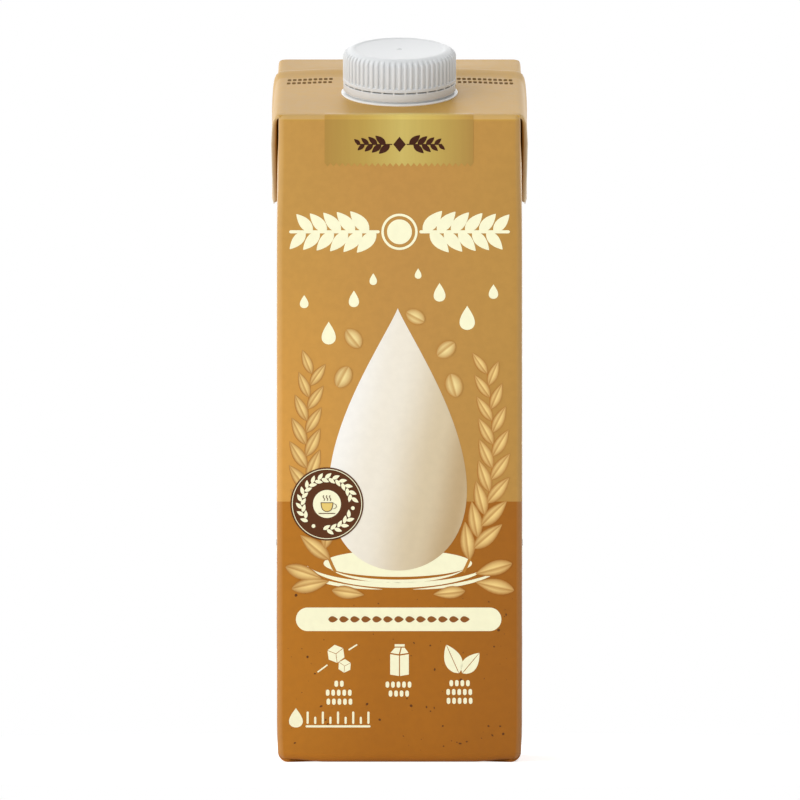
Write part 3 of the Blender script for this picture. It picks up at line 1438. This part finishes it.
def gold_material():
    """Gold that is lightest in the middle and on the bend, with fine upright strokes."""
    material = ink_material("gold_ink", srgb(*GOLD_STOPS[0][1]), rough=0.36)
    tree = material.node_tree
    place = tree.nodes["Texture Coordinate"].outputs["Object"]
    x, _, z = split(tree, place)
    run_of_colours(tree, x, LABEL_LEFT * MM, LABEL_RIGHT * MM, GOLD_STOPS)
    upright = add_node(tree, "ShaderNodeMapping", vector=place, scale=STROKE_SCALE)
    strokes = noise(tree, upright.outputs[0], 1.0)
    bend = band(tree, z, (FOLD_START - 0.1, FOLD_START + 0.35), 1.0, BEND_GLOW)
    fill(tree, tree.nodes["Hue/Saturation/Value"],
         value=multiply(tree, bend, vary(tree, strokes, 0.985, 1.012)))
    return material


# %% Build the label
gold = gold_material()
label_mesh = grow("gold_label", plain_mesh("blank", [(0, 0, 0)], []), label_tree(),
                  width=LABEL_RIGHT - LABEL_LEFT, height=LABEL_TOP - LABEL_FOOT, teeth=TEETH,
                  tooth=TOOTH, material=gold)
label_mesh.transform(Matrix.Translation(((LABEL_LEFT + LABEL_RIGHT) / 2, 0,
                                         (LABEL_TOP + LABEL_FOOT) / 2)))
depths = [v.co.y for v in label_mesh.vertices]
for vertex in label_mesh.vertices:
    in_front = vertex.co.y < (min(depths) + max(depths)) / 2
    vertex.co.y = -LABEL_LIFT if in_front else PRINT_SUNK
lay("print_label", label_mesh, "front", gold)
print("label:", len(label_mesh.vertices), "points, depth", round(max(depths) - min(depths), 3))

# %% [markdown]
# ## Sprig on the label
# The middle of the label carries a small dark ornament: a lozenge between two sprigs.

# %% Build the sprig
SIDES = ((-1, "left"), (1, "right"))
SPRIG_HEIGHT = 178.9
for side, word in SIDES:
    row(f"print_sprig_{word}", [(side * 2.9, SPRIG_HEIGHT), (side * 11.4, SPRIG_HEIGHT)],
        small_leaf, 8, "front", dark_brown, lean=0.72, sizes=(1.75, 1.0), lift=0.08)
stems = [bar((side * 2.2, SPRIG_HEIGHT), (side * 12.2, SPRIG_HEIGHT), 0.3) for side in (1, -1)]
lozenge = [(-1.8, SPRIG_HEIGHT), (0, SPRIG_HEIGHT - 2.2), (1.8, SPRIG_HEIGHT),
           (0, SPRIG_HEIGHT + 2.2)]
inlay("print_lozenge", [lozenge, *stems], "front", dark_brown, lift=0.12)

# %% [markdown]
# ## Garland
# A bold cream garland runs across the light field: two rows of grains that grow out from a
# disc.  It is as wide and as heavy as a headline would be, but it is an ornament.

# %% Build garlands
GARLAND_HEIGHT, GARLAND_HALF, GARLAND_GRAINS = 153.6, 31.5, 11


def garland(panel):
    """A mirrored garland round a disc."""
    for side, word in SIDES:
        path = [(side * x, GARLAND_HEIGHT) for x in (6.9, GARLAND_HALF - 4.2)]
        row(f"print_garland_{panel}_{word}", path, big_grain, GARLAND_GRAINS, panel, cream,
            lean=0.84, sizes=(0.94, 0.78))
    stems = [bar((left, GARLAND_HEIGHT), (right, GARLAND_HEIGHT), 0.9)
             for left, right in ((-GARLAND_HALF, -6.2), (6.2, GARLAND_HALF))]
    inlay(f"print_garland_{panel}_disc", [disc(0, GARLAND_HEIGHT, 3.6, 48), *stems,
                                          *ring_parts(0, GARLAND_HEIGHT, 4.9, 0.7)],
          panel, cream, lift=0.09)


garland("front")
print("garland of", 2 * GARLAND_GRAINS, "grains,", 2 * GARLAND_HALF, "mm wide")

# %% [markdown]
# ## Picture
# The middle of the front holds the big motif: a tall drop of milk that stands in its own
# ripples between two sprays of oats, with small drops and flakes about it.  The drop is
# shaded from cream at the left to beige at the right, like milk in soft side light, by a
# material that follows the object's own width.

# %% Milk ink
MILK_STOPS = ((0.0, (238, 228, 208)), (0.16, (253, 250, 243)), (0.42, (244, 236, 219)),
              (0.72, (219, 201, 167)), (0.9, (196, 169, 127)), (1.0, (217, 196, 158)))
MILK_LEFT, MILK_RIGHT, MILK_LEAN = -45, 8, -0.22
WAVER, WAVER_SCALE = 6, 24.0


def milk_material():
    """Milk in soft side light; the shade leans with the drop and wavers a little."""
    material = ink_material("milk_ink", srgb(252, 247, 238), rough=0.42)
    tree = material.node_tree
    place = tree.nodes["Texture Coordinate"].outputs["Object"]
    x, _, z = split(tree, place)
    leaning = calculate(tree, "ADD", x, multiply(tree, z, MILK_LEAN))
    sway = multiply(tree, noise(tree, place, WAVER_SCALE, 1.0), WAVER * MM)
    across = calculate(tree, "ADD", leaning, sway)
    ramp = run_of_colours(tree, across, MILK_LEFT * MM, MILK_RIGHT * MM, MILK_STOPS)
    ramp.interpolation = "EASE"
    return material


milk = milk_material()


# %% Drops and strokes
def drop_outline(cx, foot, width, height, steps=96):
    """A falling drop: round below, drawn out to a tip above."""
    turns = [2 * math.pi * n / steps for n in range(steps)]
    return [(cx + width * 0.62 * (math.sin(t) * math.sin(t / 2) ** 1.25),
             foot + height * (1 - (1 - math.cos(t)) / 2)) for t in turns]


def stroke(points, widths):
    """A swelling stroke along points with a width at each."""
    left, right = [], []
    for n, (x, z) in enumerate(points):
        ahead = points[min(n + 1, len(points) - 1)]
        behind = points[max(n - 1, 0)]
        size = math.dist(ahead, behind)
        nx, nz = -(ahead[1] - behind[1]) / size, (ahead[0] - behind[0]) / size
        left.append((x + nx * widths[n] / 2, z + nz * widths[n] / 2))
        right.append((x - nx * widths[n] / 2, z - nz * widths[n] / 2))
    return left + right[::-1]


def ripple(cx, cz, rx, rz, start, stop, width, steps=28):
    """A swelling stroke along part of an ellipse."""
    return stroke(arc(cx, cz, rx, start, stop, steps, rz / rx),
                  [0.06 + width * math.sin(math.pi * n / steps) for n in range(steps + 1)])


# %% Build the drops
DROP_X, DROP_FOOT = -0.5, 55.5
FINE_CELL = 3.0
inlay("print_drop", [drop_outline(DROP_X, DROP_FOOT, 44.0, 76.0)], "front", milk, lift=0.06,
      cell=FINE_CELL)
ripples = ((58.5, 27.0, 7.2, 193, 347, 1.5), (57.6, 20.5, 5.2, 200, 340, 0.9),
           (59.4, 32.3, 9.4, 205, 262, 0.9), (59.4, 32.3, 9.4, 278, 335, 0.9))
inlay("print_ripples", [ripple(DROP_X, *sizes) for sizes in ripples], "front", cream,
      cell=FINE_CELL)
inlay("print_puddle", [disc(DROP_X, 57.6, 21.5, 72, squash=3.9 / 21.5)], "front", cream,
      lift=0.02, cell=FINE_CELL)
small_drops = ((-20.5, 121.0, 3.6, 6.6), (-13.2, 131.8, 2.6, 4.8), (11.6, 133.4, 3.0, 5.4),
               (19.6, 125.2, 3.9, 7.0), (-27.6, 131.5, 2.2, 3.8), (27.2, 134.2, 2.4, 4.2),
               (-7.6, 138.2, 1.9, 3.4), (5.4, 140.0, 1.7, 3.0))
inlay("print_small_drops", [drop_outline(x, z, w * 1.25, h, 32) for x, z, w, h in small_drops],
      "front", cream)

# %% Oat sprays
SPRAY_FOOT, SPRAY_TIP, SPRAY_SWING, SPRAY_STEPS = (18.5, 55.0), (25.4, 112.5), 4.6, 24


def spray_path(side):
    """A stem that swings out from its foot and up to its tip."""
    (x, z), (tip_x, tip_z) = SPRAY_FOOT, SPRAY_TIP
    shares = [n / SPRAY_STEPS for n in range(SPRAY_STEPS + 1)]
    return [(side * (x + (tip_x - x) * t + SPRAY_SWING * math.sin(math.pi * t)),
             z + (tip_z - z) * t ** 1.1) for t in shares]


for side, word in SIDES:
    path = spray_path(side)
    widths = [0.9 - 0.5 * n / SPRAY_STEPS for n in range(SPRAY_STEPS + 1)]
    inlay(f"print_stem_{word}", [stroke(path, widths)], "front", grain_ink, lift=0.05)
    row(f"print_spray_{word}", path[2:], stem_grain, 17, "front", pale_grain, lean=0.5,
        sizes=(1.0, 0.68), lift=0.02)

# %% Loose grains at the foot and flakes in the air
loose_grains = ((-33.0, 56.6, -18, 1.0), (-31.2, 50.2, 12, 1.0), (-19.6, 49.8, -8, 0.86),
                (32.6, 57.6, 196, 1.0), (33.2, 49.8, 168, 1.04), (19.0, 49.6, 186, 0.84))
loose_flakes = ((-17.9, 108.6, 62, 1.05), (-11.4, 120.2, 128, 1.0), (16.6, 105.8, 105, 1.08),
                (11.0, 117.6, 38, 0.98), (7.2, 127.6, 152, 0.92))
loose = [(stem_grain, pale_grain, *place) for place in loose_grains]
loose += [(oat_flake, flake_ink, *place) for place in loose_flakes]
for number, (part, ink, x, z, lean, size) in enumerate(loose):
    grain = part.data.copy()
    grain.transform(Matrix.Translation((x, 0, z)) @ Matrix.Rotation(-math.radians(lean), 4, "Y")
                    @ Matrix.Diagonal((size, 1, size, 1)))
    lay(f"print_loose_grain_{number}", grain, "front", ink, lift=0.1)
print("picture:", len(small_drops) + 1, "drops and", len(loose), "loose grains and flakes")

# %% [markdown]
# ## Round badge
# A dark disc with a thin cream ring, a wreath of small leaves broken by two dots, and in the
# middle a plain cup that steams, the sign any menu uses for a hot drink.

# %% Build the badge
BADGE_X, BADGE_Z, BADGE_RADIUS = -21.0, 74.8, 10.6
WREATH_RADIUS = 7.45
inlay("print_badge", [disc(BADGE_X, BADGE_Z, BADGE_RADIUS, 72)], "front", brown, lift=0.16)
for word, start, stop, count in (("top", 222, 14, 27), ("low", -98, -32, 9)):
    row(f"print_badge_wreath_{word}", arc(BADGE_X, BADGE_Z, WREATH_RADIUS, start, stop, 40),
        small_leaf, count, "front", cream, lean=0.62, lift=0.16)
dots = [disc(x, z, 0.55, 20) for x, z in ((-13.5, 73.6), (-24.9, 68.4))]
inlay("print_badge_light", [*ring_parts(BADGE_X, BADGE_Z, BADGE_RADIUS - 0.55, 0.2, 72),
                            disc(BADGE_X, BADGE_Z, 4.05, 48), *dots],
      "front", cream, lift=0.2)

# %% Build the cup
CUP_LINE = 0.2
cup = [(BADGE_X - 1.75, BADGE_Z + 0.35), (BADGE_X - 1.6, BADGE_Z - 0.75),
       *arc(BADGE_X, BADGE_Z - 0.9, 1.5, 190, 350, 10, 1.3 / 1.5),
       (BADGE_X + 1.6, BADGE_Z - 0.75), (BADGE_X + 1.75, BADGE_Z + 0.35)]
inlay("print_cup_fill", [cup], "front", amber, lift=0.26)
cup_lines = [bar(a, b, CUP_LINE) for a, b in zip(cup, cup[1:] + cup[:1])]
cup_lines.append(ripple(BADGE_X + 1.75, BADGE_Z - 0.65, 1.0, 0.75, -95, 95, 0.12, 12))
cup_lines.append(bar((BADGE_X - 2.3, BADGE_Z - 2.75), (BADGE_X + 2.3, BADGE_Z - 2.75), 0.22))
for shift in (-0.9, 0, 0.9):
    steam = [(BADGE_X + shift + 0.22 * math.sin(n * 0.9), BADGE_Z + 0.95 + 0.22 * n)
             for n in range(8)]
    cup_lines.append(stroke(steam, [CUP_LINE] * len(steam)))
inlay("print_cup_lines", cup_lines, "front", brown, lift=0.3)

# %% [markdown]
# ## Cream bar, signs and small lines
# Below the picture are a long cream bar with a row of small leaves, three common signs (sugar
# cubes struck out, a carton, two leaves) and rows of short dashes where small print would be.

# %% Bar and sign helpers
inlay("print_bar", [capsule(-30.0, 29.5, 38.0, 44.8, 20)], "front", cream)
row("print_bar_leaves", [(-20.6, 41.4), (17.6, 41.4)], pill_leaf, 13, "front", bar_brown,
    lift=0.05)


def cube(cx, cz, size, turn):
    """Three faces of a cube as separate rhombs, each drawn in a little from its outline."""
    corner = [on_circle(0, 0, 1, turn + 30 + 60 * n) for n in range(6)]
    faces = []
    for n in (0, 2, 4):
        rhomb = [corner[n], corner[n + 1], corner[(n + 2) % 6], (0.0, 0.0)]
        x, z = (sum(p[axis] for p in rhomb) / 4 for axis in (0, 1))
        faces.append([(cx + size * (x + (p[0] - x) * 0.93), cz + size * (z + (p[1] - z) * 0.93))
                      for p in rhomb])
    return faces


def split_leaf(x, z, length, width, turn):
    """A leaf in two halves with a vein left open between them."""
    c, s = math.cos(math.radians(turn)), math.sin(math.radians(turn))
    halves = []
    for side in (-1, 1):
        loop = [(length * n / 12, side * (leaf_half_width(n / 12, width) + 0.02))
                for n in range(13)]
        loop += [(length * share, side * 0.1) for share in (0.72, 0.1)]
        halves.append([(x + p * c - q * s, z + p * s + q * c) for p, q in loop])
    return halves


# %% Build the signs
sugar = cube(-18.4, 31.4, 2.75, 8) + cube(-15.9, 27.9, 2.05, -4)
sugar += [bar((-23.6, 26.2), (-21.0, 28.1), 0.42), bar((-14.6, 32.6), (-12.4, 34.0), 0.42)]
small_carton = [[(-2.7, 31.3), (-2.7, 25.4), (-0.15, 25.0), (-0.15, 30.9)],
                [(0.15, 30.9), (0.15, 25.0), (2.7, 25.4), (2.7, 31.3)],
                [(-2.6, 31.7), (-0.2, 31.3), (0.3, 33.2), (-1.3, 33.2)],
                [(0.2, 31.3), (2.6, 31.7), (1.5, 33.2), (0.65, 33.2)],
                [(-1.4, 33.5), (1.5, 33.5), (1.5, 34.2), (-1.4, 34.2)]]
leaves = split_leaf(17.2, 25.8, 9.0, 4.9, 114) + split_leaf(18.2, 25.8, 7.6, 4.2, 50)
inlay("print_signs", sugar + small_carton + leaves, "front", cream)


# %% Rows of dashes
def dashes(name, middle, height, count, pitch, part, ink):
    """A centred row of upright dashes."""
    reach = (count - 1) * pitch / 2
    row(name, [(middle - reach, height), (middle + reach, height)], part, count, "front", ink)


lines = ((-17.5, 22.75, 2), (-17.6, 20.15, 5), (-17.4, 17.55, 5), (-0.3, 22.5, 5),
         (-0.2, 19.9, 4), (17.4, 22.9, 4), (17.3, 20.35, 5), (17.4, 17.8, 5))
for number, line in enumerate(lines):
    dashes(f"print_line_{number}", *line, 1.6, letter_dash, cream)

# %% Tick scale
TICK_START, TICK_PITCH, TICK_LINE = -26.6, 2.2, 0.62
ticks = []
for number in range(9):
    x = TICK_START + TICK_PITCH * number
    ticks.append(bar((x, 11.4), (x, (14.4, 12.9)[number % 2]), TICK_LINE))
inlay("print_measure", [drop_outline(-30.0, 10.1, 4.4, 5.6, 40), *ticks,
                        bar((-26.9, 10.4), (-8.7, 10.4), TICK_LINE)], "front", cream)
print("signs, lines and scale laid,", len(prints), "printed pieces so far")

# %% [markdown]
# ## Specks
# The dark field looks like toasted ground with crumbs: small dark specks of uneven size.  A
# tree scatters points over a sheet with a fixed seed and puts a turned, scaled crumb on each.

# %% Speck tree
def chance(tree, low, high, seed):
    """A random number for each point."""
    node = add_node(tree, "FunctionNodeRandomValue", seed=seed)
    feed(tree, node.inputs[2], low)
    feed(tree, node.inputs[3], high)
    return node.outputs[1]


def scatter_tree():
    """Crumbs strewn over the source's faces, mostly small ones."""
    tree, given = start_tree("scatter", density=0.05, smallest=0.3, largest=1.0, seed=4)
    dots = add_node(tree, "GeometryNodeDistributePointsOnFaces", mesh=given["Geometry"],
                    density=given["Density"], seed=given["Seed"])
    share = calculate(tree, "POWER", chance(tree, 0.0, 1.0, 12), 2.6)
    span = calculate(tree, "SUBTRACT", given["Largest"], given["Smallest"])
    size = calculate(tree, "ADD", given["Smallest"], multiply(tree, share, span))
    tall = multiply(tree, size, chance(tree, 0.55, 1.3, 13))
    crumbs = copies(tree, given, dots.outputs["Points"],
                    vector_of(tree, y=chance(tree, 0.0, 6.283, 11)),
                    scale=vector_of(tree, x=size, y=1.0, z=tall))
    return end_tree(tree, given, crumbs)


crumb = flat_part("crumb", [(0.5, 0.05), (0.3, 0.36), (-0.1, 0.42), (-0.45, 0.2), (-0.5, -0.2),
                            (-0.15, -0.4), (0.25, -0.38)], lift=0.03)
scatter = scatter_tree()

# %% Scatter the specks
SPECK_FOOT, SPECK_DENSITY = 3.5, 0.035
for panel, half, top, seed in (("front", 33, 49, 4), ("back", 33, 60, 7), ("left", 35, 60, 9),
                               ("right", 35, 60, 15)):
    corners = [(-half, 0, SPECK_FOOT), (half, 0, SPECK_FOOT), (half, 0, top), (-half, 0, top)]
    sheet = plain_mesh(f"print_specks_{panel}_sheet", corners, [(0, 1, 2, 3)])
    specks = grow(f"print_specks_{panel}", sheet, scatter, part=crumb, density=SPECK_DENSITY,
                  smallest=0.2, largest=0.95, seed=seed, material=black_brown)
    print("specks,", panel, "panel:", len(specks.vertices) // len(crumb.data.vertices))
    lay(f"print_specks_{panel}", specks, panel, black_brown)

# %% [markdown]
# ## Dashes on the top, and the other panels
# Two short rows of dark dashes lie before the seal on either side of the cap.  The sides and
# the back carry a framed block of lines with a bar and a spray of oats, and the back also a
# drop and the same garland as the front, as such packs do.

# %% Dashes on the top
top_dash = flat_part("top_dash", soft_box(-0.52, 0.52, -1.25, 1.25, 0.4), lift=0.03)
for number, (middle, v, count) in enumerate(((-26.2, 46.4, 9), (-26.4, 42.2, 9),
                                             (25.0, 46.4, 11), (25.2, 42.2, 11))):
    dashes(f"print_top_line_{number}", middle, top_row(v), count, 1.52, top_dash, dull_brown)

# %% Other panels
FRAME_HALF, FRAME_LINE, TEXT_LINE = 27, 0.4, 0.8


def frame_of_lines(panel, low, high, count):
    """A cream frame round rows of thin bars of uneven length."""
    left, right = -FRAME_HALF, FRAME_HALF
    edges = [bar((left, z), (right, z), FRAME_LINE) for z in (low, high)]
    edges += [bar((x, low + 0.5), (x, high - 0.5), FRAME_LINE) for x in (left, right)]
    luck = random.Random(count)
    for n in range(count):
        z = high - (high - low) * (n + 1) / (count + 1)
        stop = left + (right - left) * luck.uniform(0.45, 0.7)
        edges.append(bar((left + 2.4, z), (stop, z), TEXT_LINE))
        edges.append(bar((right - luck.uniform(6.5, 9.5), z), (right - 2.4, z), TEXT_LINE))
    inlay(f"print_frame_{panel}", edges, panel, cream)


garland("back")
for panel, low, high, count in (("right", 84, 138, 12), ("left", 84, 138, 10), ("back", 26, 64, 8)):
    frame_of_lines(panel, low, high, count)
inlay("print_back_drop", [drop_outline(-10.0, 86.0, 30.0, 50.0)], "back", milk, cell=FINE_CELL)
for _, panel in SIDES:
    inlay(f"print_{panel}_bar", [capsule(-FRAME_HALF, FRAME_HALF, 60.0, 66.8, 16)], panel, cream)
    row(f"print_{panel}_bar_leaves", [(-20.0, 63.4), (17.0, 63.4)], pill_leaf, 12, panel, brown,
        lift=0.05)
    row(f"print_{panel}_spray", [(-22, 24), (-8, 30), (8, 36), (22, 46)], stem_grain, 13, panel,
        pale_grain, lean=0.55, sizes=(1.0, 0.75))
print("printed pieces:", len(prints))

# %% [markdown]
# ## Hand over
# Every piece rides with the one body and takes its finish slot.  The pieces of board, the cap
# and the spout's flange also stand for their CAD nodes; print stands for none of them.

# %% Ride, replace and finish
visual_twins = [(piece, "carton", "carton_board") for piece in (brick, *ears, seal, *base_ears,
                                                                overlap)]
visual_twins += [(cap, "cap", "white_plastic"), (spout, "spout", "white_plastic")]
for piece, node, finish in visual_twins:
    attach(piece, "root")
    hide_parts(node)
for piece in prints:
    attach(piece, "root")
for part in patterns:
    bpy.data.objects.remove(part)
